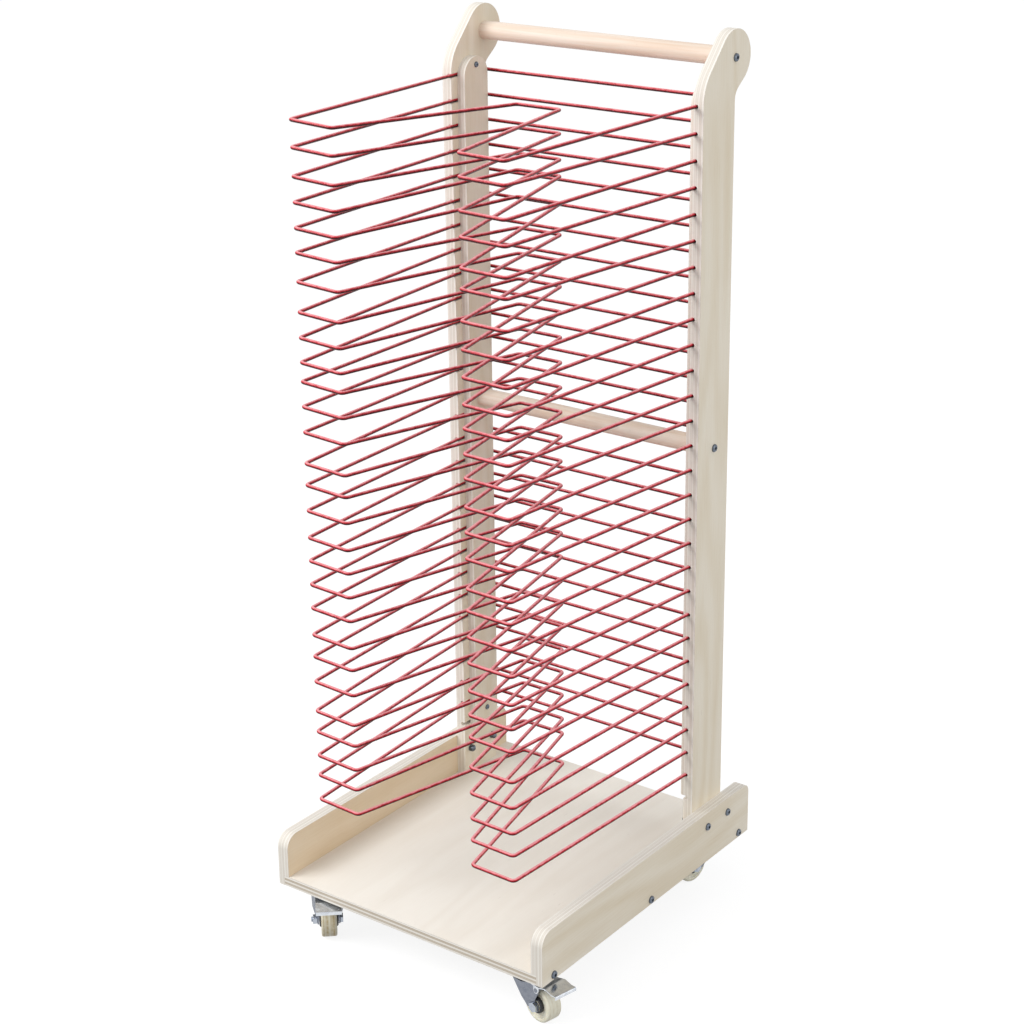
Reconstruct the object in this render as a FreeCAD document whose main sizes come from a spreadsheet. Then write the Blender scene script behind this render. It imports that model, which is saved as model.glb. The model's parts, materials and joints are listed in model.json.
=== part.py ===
"""Mobile art drying rack: a birch plywood stand on four swivel casters that carries wire shelves.

Rack coordinates: X to the right, Y to the back, Z up from the floor, in millimetres.  While the
pieces are built, X = 0 is midway between the side rails and Y = 0 is the rails' front end; at the
end the whole rack is moved so that the origin lies on the floor under the middle of its box.
"""
import FreeCAD
import Part
import Sketcher
import math
import os
import re

Vector = FreeCAD.Vector
Placement = FreeCAD.Placement
Rotation = FreeCAD.Rotation

# ---------------------------------------------------------------- driving dimensions, millimetres
SIZES = {
    # base: two side rails and the board between them
    "inner_width": 418.0,
    "rail_thickness": 18.0,
    "rail_length": 510.5,
    "rail_height": 77.0,
    "rail_front_round": 20.0,
    "rail_rear_round": 13.0,
    "rabbet_depth": 8.0,
    "board_thickness": 15.0,
    # posts, seen from the side: an upright with a rounded ear that leans back at its top
    "post_thickness": 15.0,
    "post_depth": 75.5,
    "post_rear_inset": 48.5,
    "ear_reach": 75.8,
    "ear_above_grooves": 52.1,
    "ear_radius": 36.5,
    "shoulder_angle": 47.0,
    "shoulder_round": 60.0,
    "throat_angle": 36.0,
    "throat_round": 20.0,
    # grooves in the posts' inner faces, and the strips that close them
    "groove_foot": 83.7,
    "groove_pitch": 35.0,
    "groove_count": 29,
    "groove_height": 5.6,
    "groove_depth": 7.0,
    "strip_foot": 77.2,
    "strip_length": 1009.0,
    "strip_setback": 13.7,
    "strip_width": 51.8,
    "strip_thickness": 12.5,
    # wire shelves
    "wire_diameter": 5.0,
    "wire_clearance": 0.2,
    "wire_bend": 6.0,
    "wire_rear_bend_inside": 0.4,
    "mouth_bend_behind_front": 6.0,
    "tip_inset": 43.5,
    "tip_front": 23.8,
    "prong_half_gap": 97.3,
    "web_half_width": 34.7,
    "web_front": 320.2,
    # dowels
    "handle_diameter": 25.0,
    "cross_dowel_diameter": 25.0,
    "cross_dowel_setback": 26.9,
    "cross_dowel_above_groove": 22.5,
    # socket button head bolts and screws
    "bolt_diameter": 6.0,
    "bolt_head_diameter": 11.0,
    "bolt_head_height": 3.0,
    "bolt_head_round": 2.1,
    "bolt_socket_flats": 4.0,
    "bolt_socket_depth": 1.8,
    "dowel_bolt_length": 60.0,
    "rail_bolt_length": 38.5,
    "rail_bolt_height": 55.0,
    "rail_bolt_inset": 13.5,
    "rail_bolt_spacing": 53.0,
    "cap_nut_flats": 10.0,
    "cap_nut_hex": 4.5,
    "cap_nut_height": 8.0,
    "cap_nut_dome": 9.2,
    "cap_nut_round": 3.1,
    "cap_nut_bore": 6.0,
    "screw_diameter": 4.0,
    "board_screw_length": 34.0,
    "board_screw_front_inset": 25.5,
    "board_screw_rear_inset": 26.0,
    "strip_screw_head_diameter": 8.0,
    "strip_screw_head_height": 2.2,
    "strip_screw_head_round": 1.5,
    "strip_screw_socket_flats": 2.5,
    "strip_screw_socket_depth": 1.0,
    "strip_screw_diameter": 3.5,
    "strip_screw_length": 23.5,
    "strip_screw_above_groove": 11.0,
    "caster_screw_diameter": 3.5,
    "caster_screw_length": 12.0,
    "caster_screw_spacing": 31.0,
    "caster_screw_head": 7.0,
    "caster_screw_head_height": 1.8,
    "hole_clearance": 0.05,
    # casters
    "caster_height": 66.0,
    "wheel_radius": 25.0,
    "wheel_width": 22.0,
    "wheel_round": 3.0,
    "wheel_hub_radius": 8.5,
    "wheel_face_recess": 3.0,
    "wheel_rim": 6.0,
    "wheel_bore_clearance": 0.05,
    "axle_diameter": 8.0,
    "axle_head_flats": 13.0,
    "axle_head_height": 4.0,
    "axle_thread_end": 2.0,
    "trail": 24.5,
    "fork_inner_width": 27.0,
    "fork_plate": 2.5,
    "fork_top": 57.5,
    "fork_flare": 7.5,
    "fork_swell": 6.4,
    "fork_swell_behind": 17.7,
    "fork_rear": 9.0,
    "fork_belly_behind": 17.7,
    "fork_belly_above": 10.7,
    "fork_heel_behind": 10.8,
    "fork_heel_below": 3.6,
    "fork_heel_angle": 26.2,
    "fork_eye_radius": 8.0,
    "fork_waist_before": 1.0,
    "fork_waist_above": 9.0,
    "crown_radius": 22.0,
    "crown_front": 19.0,
    "fork_front": 33.0,
    "fork_front_top": 55.5,
    "fork_front_foot": 49.0,
    "swivel_gap": 0.2,
    "race_radius": 17.0,
    "top_plate_size": 40.0,
    "top_plate_thickness": 2.0,
    "kingpin_diameter": 8.0,
    "kingpin_head": 14.0,
    "kingpin_head_height": 2.5,
    # brake pedals on the front casters
    "pedal_width": 36.0,
    "pedal_plate": 1.6,
    "pedal_pin_x": 30.0,
    "pedal_pin_z": 52.6,
    "pedal_pin_diameter": 4.0,
    "pedal_side_gap": 0.4,
    "pedal_cheek_radius": 4.5,
    "pedal_rear": 20.0,
    "pedal_bend": 35.0,
    "pedal_crest": 48.0,
    "pedal_crest_rise": 3.8,
    "pedal_dip": 60.0,
    "pedal_dip_rise": 1.1,
    "pedal_tip": 69.5,
    "pedal_tip_rise": 1.8,
    "pedal_lip": 5.2,
    "pedal_top_gap": 0.6,
    "brake_shoe_rear": 31.0,
    "brake_shoe_front": 36.0,
    "brake_shoe_width": 16.0,
    "brake_shoe_gap": 0.9,
    # each caster's swivel: how far in from the side rail and from the rails' ends it stands, and
    # which way the wheel trails (degrees from +X)
    "front_left_side_inset": 37.3,
    "front_left_end_inset": 37.7,
    "front_left_turn": -47.6,
    "front_right_side_inset": 23.6,
    "front_right_end_inset": 31.3,
    "front_right_turn": -12.8,
    "rear_side_inset": 33.6,
    "rear_end_inset": 46.0,
    "rear_right_turn": -101.0,
    "rear_left_turn": -107.0,
}

# How far use has bent each shelf, from the top one down: the height of its left and right tips and
# of its web above its own grooves, in whole millimetres.
LEFT_TIP_RISE = (7, 7, 5, 7, 9, 12, 9, 4, 5, 7, 16, 17, 17, 9,
                 14, 13, 10, 12, 13, 14, 10, 13, 11, 2, 6, 5, 10, 8)
RIGHT_TIP_RISE = (-5, 1, -5, -2, -5, 4, -1, -2, -2, -2, 2, 4, 7, 4,
                  5, 5, -1, 4, 3, 2, -2, -1, 2, -6, -8, -10, -7, -9)
WEB_RISE = (-10, -6, -5, 8, 7, 0, 0, 0, 0, 0, 0, 0, 0, 0,
            0, 0, 0, 0, 0, 0, 0, 0, 0, 0, 0, -2, 10, -2)
LEFT_PRONG_SAG = 3.0
RIGHT_PRONG_LIFT = 1.5

CASTERS = ("front_left", "front_right", "rear_left", "rear_right")
SIDES = (("left", -1), ("right", 1))

doc = FreeCAD.newDocument("drying_rack")
sheet = doc.addObject("Spreadsheet::Sheet", "sizes")
for row, (alias, value) in enumerate(SIZES.items(), 1):
    sheet.set("A%d" % row, alias)
    sheet.set("B%d" % row, str(value))
    sheet.setAlias("B%d" % row, alias)
doc.recompute()


# ---------------------------------------------------------------- helpers
def mm(alias):
    """The present value of one size in the sheet."""
    return float(sheet.get(alias))


def linked(text):
    """An expression over aliases, written so that a property of another object can use it."""
    def link(word):
        return "sizes." + word.group() if word.group() in SIZES else word.group()
    return re.sub(r"[a-z_]+", link, text)


def number(text):
    """What an expression over aliases comes to."""
    return float(sheet.evalExpression(linked(text)))


def bind(feature, expressions):
    for name, text in expressions.items():
        feature.setExpression(name, linked(text))


def new_body(name):
    body = doc.addObject("PartDesign::Body", name)
    body.Label = name
    return body


def finish_feature(body, feature):
    doc.recompute()
    body.Tip = feature
    return feature


def box(body, kind, low, lengths):
    """A box from its low corner and its three lengths, added to or cut from the body."""
    feature = body.newObject("PartDesign::%sBox" % kind, "Block")
    bind(feature, {"Placement.Base." + axis: text for axis, text in zip("xyz", low)})
    bind(feature, dict(zip(("Length", "Width", "Height"), lengths)))
    return finish_feature(body, feature)


AXIS_TURNS = {"x": Rotation(Vector(0, 1, 0), 90), "y": Rotation(Vector(1, 0, 0), -90), "z": Rotation()}


def rod(body, kind, axis, low, radius, length):
    """A cylinder along an axis from the middle of its low end, added to or cut from the body."""
    feature = body.newObject("PartDesign::%sCylinder" % kind, "Rod")
    feature.Placement = Placement(Vector(), AXIS_TURNS[axis])
    bind(feature, {"Placement.Base." + letter: text for letter, text in zip("xyz", low)})
    bind(feature, {"Radius": radius, "Height": length})
    return finish_feature(body, feature)


def hexagon(body, kind, axis, low, flats, length):
    """A hexagonal prism given by its width across flats."""
    feature = body.newObject("PartDesign::%sPrism" % kind, "Hexagon")
    feature.Polygon = 6
    feature.Placement = Placement(Vector(), AXIS_TURNS[axis])
    bind(feature, {"Placement.Base." + letter: text for letter, text in zip("xyz", low)})
    bind(feature, {"Circumradius": "(%s) / sqrt(3)" % flats, "Height": length})
    return finish_feature(body, feature)


def outline(body, role, corners, offset="0"):
    """A closed outline of straight lines on one of the body's planes, its corners bound to the sheet."""
    sketch = body.newObject("Sketcher::SketchObject", "Outline")
    plane = [item for item in body.Origin.OriginFeatures if item.Role == role][0]
    sketch.AttachmentSupport = [(plane, "")]
    sketch.MapMode = "FlatFace"
    count = len(corners)
    ring = [Vector(math.cos(2 * math.pi * turn / count), math.sin(2 * math.pi * turn / count), 0) * 100
            for turn in range(count)]
    for index in range(count):
        sketch.addGeometry(Part.LineSegment(ring[index], ring[(index + 1) % count]), False)
    for index, corner in enumerate(corners):
        sketch.addConstraint(Sketcher.Constraint("Coincident", index, 2, (index + 1) % count, 1))
        for letter, text in zip("XY", corner):
            number = sketch.addConstraint(Sketcher.Constraint("Distance" + letter, -1, 1, index, 1, 1.0))
            sketch.renameConstraint(number, "%s%d" % (letter, index))
            bind(sketch, {"Constraints.%s%d" % (letter, index): text})
    bind(sketch, {"AttachmentOffset.Base.z": offset})
    doc.recompute()
    return sketch


def pad(body, sketch, length, middle=False):
    feature = body.newObject("PartDesign::Pad", "Pad")
    feature.Profile = sketch
    feature.Midplane = middle
    bind(feature, {"Length": length})
    return finish_feature(body, feature)


def pocket(body, sketch, length):
    """Cuts an outline out of the body, half of the length to each side of its plane."""
    feature = body.newObject("PartDesign::Pocket", "Pocket")
    feature.Profile = sketch
    feature.Midplane = True
    bind(feature, {"Length": length})
    return finish_feature(body, feature)


def edges_along_x(shape, y):
    """The highest edge that runs along X in the plane at this Y."""
    found = []
    for index, edge in enumerate(shape.Edges, 1):
        ends = [vertex.Point for vertex in edge.Vertexes]
        in_plane = len(ends) == 2 and all(abs(end.y - y) < 0.01 for end in ends)
        if in_plane and abs(ends[0].z - ends[1].z) < 0.01:
            found.append((ends[0].z, "Edge%d" % index))
    return [max(found)[1]]


def circle_edges(shape, radius, axis, at):
    """Round edges of one radius in the plane at a given place along an axis."""
    return ["Edge%d" % index for index, edge in enumerate(shape.Edges, 1)
            if isinstance(edge.Curve, Part.Circle) and abs(edge.Curve.Radius - radius) < 0.001
            and abs(getattr(edge.Curve.Center, axis) - at) < 0.001]


def fillet(body, edges, radius):
    base = body.Tip
    feature = body.newObject("PartDesign::Fillet", "Fillet")
    feature.Base = (base, edges)
    bind(feature, {"Radius": radius})
    return finish_feature(body, feature)


def repeat_up(body, originals, spacing, count):
    """Repeat features upwards at an even spacing."""
    pattern = body.newObject("PartDesign::LinearPattern", "Repeat")
    axis = [item for item in body.Origin.OriginFeatures if item.Role == "Z_Axis"][0]
    pattern.Originals = originals
    pattern.Direction = (axis, [""])
    bind(pattern, {"Length": "(%s) * (%s - 1)" % (spacing, count), "Occurrences": count})
    return finish_feature(body, pattern)


def low_x(side, near, far):
    """The lower X of a piece that spans near..far from the middle plane on one side."""
    return near if side > 0 else "-(%s)" % far


def facing(side, x, y, z):
    """A place, given by expressions, with the local +Z axis pointing to the right or the left."""
    place = Vector(side * number(x), number(y), number(z))
    return Placement(place, Rotation(Vector(0, 1, 0), 90 * side))


def group(name, master, places):
    """One node that holds a separate solid of the master piece at each place."""
    links = []
    for place in places:
        link = doc.addObject("App::Link", name + "_copy")
        link.LinkedObject = master
        link.LinkTransform = False
        link.Placement = place
        links.append(link)
    compound = doc.addObject("Part::Compound", name)
    compound.Label = name
    compound.Links = links
    doc.recompute()
    return compound


# ---------------------------------------------------------------- base
HALF = "inner_width / 2"
BOARD_TOP = "caster_height + board_thickness"
POST_REAR = "(rail_length - post_rear_inset)"
POST_FRONT = "(rail_length - post_rear_inset - post_depth)"
BOARD_SCREW_PLACES = ("board_screw_front_inset", "rail_length / 2", "rail_length - board_screw_rear_inset")
RAIL_BOLT_PLACES = (POST_FRONT + " + rail_bolt_inset", POST_FRONT + " + rail_bolt_inset + rail_bolt_spacing")
BOARD_SCREW_Z = "caster_height + board_thickness / 2"
RAIL_BOLT_Z = "caster_height + rail_bolt_height"
RAIL_OUTER = HALF + " + rail_thickness"
POST_INNER = HALF + " - post_thickness"
STRIP_INNER = HALF + " - post_thickness - strip_thickness"
STRIP_MIDDLE_Y = POST_FRONT + " + strip_setback + strip_width / 2"
HANDLE_Y = POST_FRONT + " + ear_reach"
HANDLE_Z = BOARD_TOP + " + groove_foot + groove_pitch * (groove_count - 1) + ear_above_grooves"
CROSS_Y = POST_FRONT + " + strip_setback + cross_dowel_setback"
CROSS_Z = BOARD_TOP + " + groove_foot + groove_pitch * floor(groove_count / 2) + cross_dowel_above_groove"


def caster_axis(corner):
    """Expressions for where a caster's swivel axis meets the floor."""
    end, side_name = corner.split("_")
    inset = corner if end == "front" else "rear"
    x = "(%s - %s_side_inset)" % (HALF, inset)
    y = corner + "_end_inset" if end == "front" else "rail_length - rear_end_inset"
    return x if side_name == "right" else "-" + x, y


def make_base_board():
    body = new_body("base_board")
    width = "inner_width + 2 * rabbet_depth"
    box(body, "Additive", ("-(%s) / 2" % width, "0", "caster_height"),
        (width, "rail_length", "board_thickness"))
    depth = "board_screw_length - rail_thickness + rabbet_depth"
    for side in (-1, 1):
        for y in BOARD_SCREW_PLACES:
            x = low_x(side, HALF + " + rabbet_depth - (%s)" % depth, HALF + " + rabbet_depth")
            rod(body, "Subtractive", "x", (x, y, BOARD_SCREW_Z), "screw_diameter / 2 + hole_clearance", depth)
    for corner in CASTERS:
        x, y = caster_axis(corner)
        for step_x, step_y in (("-", "-"), ("-", "+"), ("+", "-"), ("+", "+")):
            hole_x = "%s %s caster_screw_spacing / 2" % (x, step_x)
            hole_y = "%s %s caster_screw_spacing / 2" % (y, step_y)
            rod(body, "Subtractive", "z", (hole_x, hole_y, "caster_height"),
                "caster_screw_diameter / 2 + hole_clearance",
                "caster_screw_length - top_plate_thickness + hole_clearance")
    return body


def make_rail(side_name, side):
    body = new_body(side_name + "_side_rail")
    low = (low_x(side, HALF, RAIL_OUTER), "0", "caster_height")
    box(body, "Additive", low, ("rail_thickness", "rail_length", "rail_height"))
    for y, radius in ((0.0, "rail_front_round"), (mm("rail_length"), "rail_rear_round")):
        fillet(body, edges_along_x(body.Tip.Shape, y), radius)
    rabbet_x = low_x(side, HALF, HALF + " + rabbet_depth")
    box(body, "Subtractive", (rabbet_x, "0", "caster_height"),
        ("rabbet_depth", "rail_length", "board_thickness"))
    for places, z, diameter in ((BOARD_SCREW_PLACES, BOARD_SCREW_Z, "screw_diameter"),
                                (RAIL_BOLT_PLACES, RAIL_BOLT_Z, "bolt_diameter")):
        for y in places:
            rod(body, "Subtractive", "x", (low[0], y, z), diameter + " / 2 + hole_clearance",
                "rail_thickness")
    return body


# ---------------------------------------------------------------- posts and strips
def make_post(side_name, side):
    """An upright whose ear is drawn by two tangents to the round end and closed by a cylinder."""
    body = new_body(side_name + "_post")
    foot = BOARD_TOP
    ear_y = HANDLE_Y
    ear_z = HANDLE_Z
    upper_y = ear_y + " - ear_radius * sin(shoulder_angle)"
    upper_z = ear_z + " + ear_radius * cos(shoulder_angle)"
    lower_y = ear_y + " + ear_radius * sin(throat_angle)"
    lower_z = ear_z + " - ear_radius * cos(throat_angle)"
    lower_reach = "(ear_reach + ear_radius * sin(throat_angle) - post_depth)"
    shoulder_z = upper_z + " - (ear_reach - ear_radius * sin(shoulder_angle)) * tan(shoulder_angle)"
    throat_z = "%s - %s * tan(throat_angle)" % (lower_z, lower_reach)
    corners = ((POST_FRONT, foot), (POST_REAR, foot), (POST_REAR, throat_z), (lower_y, lower_z),
               (ear_y, ear_z), (upper_y, upper_z), (POST_FRONT, shoulder_z))
    x = low_x(side, POST_INNER, HALF)
    pad(body, outline(body, "YZ_Plane", corners, x), "post_thickness")
    fillet(body, edges_along_x(body.Tip.Shape, number(POST_FRONT)), "shoulder_round")
    fillet(body, edges_along_x(body.Tip.Shape, number(POST_REAR)), "throat_round")
    rod(body, "Additive", "x", (x, ear_y, ear_z), "ear_radius", "post_thickness")
    cut_grooves(body, side)
    hole = "bolt_diameter / 2 + hole_clearance"
    rod(body, "Subtractive", "x", (x, ear_y, ear_z), hole, "post_thickness")
    rod(body, "Subtractive", "x", (x, CROSS_Y, CROSS_Z), hole, "post_thickness")
    for y in RAIL_BOLT_PLACES:
        rod(body, "Subtractive", "x", (x, y, RAIL_BOLT_Z), hole, "post_thickness")
    screw_depth = "strip_screw_length - strip_thickness"
    screw_x = low_x(side, POST_INNER, "%s + %s" % (POST_INNER, screw_depth))
    for z in strip_screw_heights():
        rod(body, "Subtractive", "x", (screw_x, STRIP_MIDDLE_Y, z),
            "strip_screw_diameter / 2 + hole_clearance", screw_depth)
    return body


def strip_screw_heights():
    """One screw above the top groove and one midway between the two lowest grooves."""
    lowest = BOARD_TOP + " + groove_foot"
    top = lowest + " + groove_pitch * (groove_count - 1) + strip_screw_above_groove"
    return top, lowest + " + groove_pitch / 2"


def cut_grooves(body, side):
    """Grooves with a round bottom, right through from the post's front edge to its rear edge."""
    flat_depth = "groove_depth - groove_height / 2"
    middle_z = BOARD_TOP + " + groove_foot"
    low_z = middle_z + " - groove_height / 2"
    bottom_x = "%s + %s" % (POST_INNER, flat_depth)
    slot_x = low_x(side, POST_INNER, bottom_x)
    slot = box(body, "Subtractive", (slot_x, POST_FRONT, low_z),
               (flat_depth, "post_depth", "groove_height"))
    repeat_up(body, [slot], "groove_pitch", "groove_count")
    round_x = low_x(side, bottom_x, bottom_x)
    bottom = rod(body, "Subtractive", "y", (round_x, POST_FRONT, middle_z), "groove_height / 2",
                 "post_depth")
    repeat_up(body, [bottom], "groove_pitch", "groove_count")


def make_strip(side_name, side):
    """A strip with a half-round top that closes the grooves and keeps the wires in."""
    body = new_body(side_name + "_wire_strip")
    x = low_x(side, STRIP_INNER, POST_INNER)
    foot = BOARD_TOP + " + strip_foot"
    straight = "strip_length - strip_width / 2"
    box(body, "Additive", (x, POST_FRONT + " + strip_setback", foot),
        ("strip_thickness", "strip_width", straight))
    rod(body, "Additive", "x", (x, STRIP_MIDDLE_Y, "%s + %s" % (foot, straight)), "strip_width / 2",
        "strip_thickness")
    rod(body, "Subtractive", "x", (x, CROSS_Y, CROSS_Z), "bolt_diameter / 2 + hole_clearance",
        "strip_thickness")
    for z in strip_screw_heights():
        rod(body, "Subtractive", "x", (x, STRIP_MIDDLE_Y, z),
            "strip_screw_diameter / 2 + hole_clearance", "strip_thickness")
    return body


def make_dowel(name, y, z, half_length, diameter, bolt_depth):
    """A round bar between the two sides, with a blind hole for a bolt in each end."""
    body = new_body(name)
    rod(body, "Additive", "x", ("-(%s)" % half_length, y, z), diameter + " / 2", "2 * (%s)" % half_length)
    for side in (-1, 1):
        x = low_x(side, "%s - (%s)" % (half_length, bolt_depth), half_length)
        rod(body, "Subtractive", "x", (x, y, z), "bolt_diameter / 2 + hole_clearance", bolt_depth)
    return body


# ---------------------------------------------------------------- wire shelves
def bent_path(corners, radii):
    """A wire's centre line: straight runs joined by tangent arcs."""
    edges = []
    start = corners[0]
    for before, corner, after, radius in zip(corners, corners[1:], corners[2:], radii):
        to_before = (before - corner).normalize()
        to_after = (after - corner).normalize()
        half_angle = to_before.getAngle(to_after) / 2
        inwards = (to_before + to_after).normalize()
        first = corner + to_before * (radius / math.tan(half_angle))
        last = corner + to_after * (radius / math.tan(half_angle))
        middle = corner + inwards * (radius / math.sin(half_angle) - radius)
        edges.append(Part.LineSegment(start, first).toShape())
        edges.append(Part.Arc(first, middle, last).toShape())
        start = last
    edges.append(Part.LineSegment(start, corners[-1]).toShape())
    return Part.Wire(edges)


def half_shelf(side, z, tip_rise, prong_rise, web_rise):
    """Half of one bent wire, from the middle of its back round to the middle of its web."""
    radius = mm("wire_diameter") / 2
    side_x = side * (number(POST_INNER) + radius + mm("wire_clearance"))
    tip_x = side * (number(HALF) - mm("tip_inset"))
    mouth_y = number(POST_FRONT) + mm("mouth_bend_behind_front")
    back_y = number(POST_FRONT + " + strip_setback + strip_width") + radius + mm("wire_clearance")
    web_z = z + web_rise
    corners = [
        Vector(0, back_y, z),
        Vector(side_x, back_y, z),
        Vector(side_x, mouth_y, z),
        Vector(tip_x, mm("tip_front"), z + tip_rise),
        Vector(side * mm("prong_half_gap"), mm("tip_front"), z + prong_rise),
        Vector(side * mm("web_half_width"), mm("web_front"), web_z),
        Vector(0, mm("web_front"), web_z),
    ]
    rear_bend = radius + mm("wire_rear_bend_inside")
    path = bent_path(corners, [rear_bend] + [mm("wire_bend")] * 4)
    section = Part.Wire([Part.Circle(corners[0], Vector(1, 0, 0), radius).toShape()])
    return path.makePipeShell([section], True, False)


def make_shelf(order):
    """One closed wire with two long prongs; its sides lie in the grooves of both posts."""
    shelf = doc.addObject("Part::Feature", "wire_shelf_%02d" % order)
    shelf.Label = "wire_shelf_%02d" % order
    z = number("%s + groove_foot + groove_pitch * (groove_count - %d)" % (BOARD_TOP, order))
    index = (order - 1) % len(LEFT_TIP_RISE)
    left_rise = LEFT_TIP_RISE[index]
    right_rise = RIGHT_TIP_RISE[index]
    left = half_shelf(-1, z, left_rise, left_rise - LEFT_PRONG_SAG, WEB_RISE[index])
    right = half_shelf(1, z, right_rise, right_rise + RIGHT_PRONG_LIFT, WEB_RISE[index])
    shelf.Shape = left.fuse(right).removeSplitter()
    return shelf


# ---------------------------------------------------------------- bolts and screws
def make_screw(name, kind, shank, length):
    """A button head screw of one kind of head: the head stands on Z = 0 and the shank points down."""
    body = new_body(name)
    head_height = kind + "_head_height"
    socket_depth = kind + "_socket_depth"
    rod(body, "Additive", "z", ("0", "0", "0"), kind + "_head_diameter / 2", head_height)
    top = circle_edges(body.Tip.Shape, mm(kind + "_head_diameter") / 2, "z", mm(head_height))
    fillet(body, top, kind + "_head_round")
    rod(body, "Additive", "z", ("0", "0", "-" + length), shank + " / 2", length)
    hexagon(body, "Subtractive", "z", ("0", "0", "%s - %s" % (head_height, socket_depth)),
            kind + "_socket_flats", socket_depth)
    return body


def make_cap_nut(name):
    """A domed nut that stands on Z = 0, with a blind bore."""
    body = new_body(name)
    hexagon(body, "Additive", "z", ("0", "0", "0"), "cap_nut_flats", "cap_nut_hex")
    rod(body, "Additive", "z", ("0", "0", "0"), "cap_nut_dome / 2", "cap_nut_height")
    top = circle_edges(body.Tip.Shape, mm("cap_nut_dome") / 2, "z", mm("cap_nut_height"))
    fillet(body, top, "cap_nut_round")
    rod(body, "Subtractive", "z", ("0", "0", "0"), "bolt_diameter / 2 + hole_clearance", "cap_nut_bore")
    return body


def outer_bolt_places(side):
    """Where the dowel bolts, the rail bolts and the board screws of one side stand."""
    dowel = [facing(side, HALF, HANDLE_Y, HANDLE_Z), facing(side, HALF, CROSS_Y, CROSS_Z)]
    rail = [facing(side, RAIL_OUTER, y, RAIL_BOLT_Z) for y in RAIL_BOLT_PLACES]
    board = [facing(side, RAIL_OUTER, y, BOARD_SCREW_Z) for y in BOARD_SCREW_PLACES]
    return dowel, rail, board


def inner_fastener_places(side):
    """Where the cap nuts and the strip screws of one side stand, facing the middle of the rack."""
    nut_x = "-(%s)" % POST_INNER
    screw_x = "-(%s)" % STRIP_INNER
    nuts = [facing(-side, nut_x, y, RAIL_BOLT_Z) for y in RAIL_BOLT_PLACES]
    return nuts, [facing(-side, screw_x, STRIP_MIDDLE_Y, z) for z in strip_screw_heights()]


def make_fasteners():
    dowel_places, rail_places, board_places, nut_places, strip_places = [], [], [], [], []
    for side in (-1, 1):
        dowel, rail, board = outer_bolt_places(side)
        nuts, strips = inner_fastener_places(side)
        dowel_places += dowel
        rail_places += rail
        board_places += board
        nut_places += nuts
        strip_places += strips
    dowel_bolt = make_screw("dowel_bolt", "bolt", "bolt_diameter", "dowel_bolt_length")
    rail_bolt = make_screw("rail_bolt", "bolt", "bolt_diameter", "rail_bolt_length")
    board_screw = make_screw("board_screw", "bolt", "screw_diameter", "board_screw_length")
    strip_screw = make_screw("strip_screw", "strip_screw", "strip_screw_diameter", "strip_screw_length")
    return [
        group("dowel_bolts", dowel_bolt, dowel_places),
        group("rail_bolts", rail_bolt, rail_places),
        group("rail_cap_nuts", make_cap_nut("rail_cap_nut"), nut_places),
        group("board_screws", board_screw, board_places),
        group("strip_screws", strip_screw, strip_places),
    ]


# ---------------------------------------------------------------- casters
# Each caster piece is built with its swivel axis on Z and its wheel trailing along +X.
CROWN_UNDERSIDE = "fork_top - fork_plate"
FORK_WIDTH = "fork_inner_width + 2 * fork_plate"


def make_top_plate():
    """A square plate with the swivel's ball race pressed into its underside."""
    body = new_body("caster_top_plate")
    underside = "caster_height - top_plate_thickness"
    box(body, "Additive", ("-top_plate_size / 2", "-top_plate_size / 2", underside),
        ("top_plate_size", "top_plate_size", "top_plate_thickness"))
    rod(body, "Additive", "z", ("0", "0", "fork_top + swivel_gap"), "race_radius",
        "%s - fork_top - swivel_gap" % underside)
    rod(body, "Subtractive", "z", ("0", "0", "fork_top"), "kingpin_diameter / 2 + hole_clearance",
        "caster_height - fork_top")
    for step_x in ("-", ""):
        for step_y in ("-", ""):
            low = (step_x + "caster_screw_spacing / 2", step_y + "caster_screw_spacing / 2", underside)
            rod(body, "Subtractive", "z", low, "caster_screw_diameter / 2 + hole_clearance",
                "top_plate_thickness")
    return body


def make_kingpin():
    """The rivet that holds the fork to the top plate."""
    body = new_body("caster_kingpin")
    foot = "%s - swivel_gap - kingpin_head_height" % CROWN_UNDERSIDE
    rod(body, "Additive", "z", ("0", "0", foot), "kingpin_head / 2", "kingpin_head_height")
    rod(body, "Additive", "z", ("0", "0", foot), "kingpin_diameter / 2", "caster_height - (%s)" % foot)
    return body


def make_caster_screw():
    """A screw that points up into the board, its head under the top plate."""
    body = new_body("caster_screw")
    seat = "caster_height - top_plate_thickness"
    rod(body, "Additive", "z", ("0", "0", seat + " - caster_screw_head_height"), "caster_screw_head / 2",
        "caster_screw_head_height")
    rod(body, "Additive", "z", ("0", "0", seat), "caster_screw_diameter / 2", "caster_screw_length")
    return body


def spread_cheeks(body):
    """Cuts the cheeks' faces, level beside the eye, swelling behind it and flared to the crown's rear."""
    def plan(half):
        return [("-fork_rear", half + " + fork_flare"), ("trail - fork_swell_behind", half + " + fork_swell"),
                ("trail - fork_eye_radius", half), ("fork_front", half)]
    blank = "fork_inner_width / 2 + 2 * fork_plate + fork_flare"
    waste = plan("fork_inner_width / 2 + fork_plate") + [("fork_front", blank), ("-fork_rear", blank)]
    for sign in ("", "-"):
        corners = [(x, "%s(%s)" % (sign, y)) for x, y in waste]
        pocket(body, outline(body, "XY_Plane", corners), "2 * caster_height")
    channel = plan("fork_inner_width / 2")
    other_half = [(x, "-(%s)" % y) for x, y in reversed(channel)]
    pocket(body, outline(body, "XY_Plane", channel + other_half), "2 * (%s)" % CROWN_UNDERSIDE)


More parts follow.
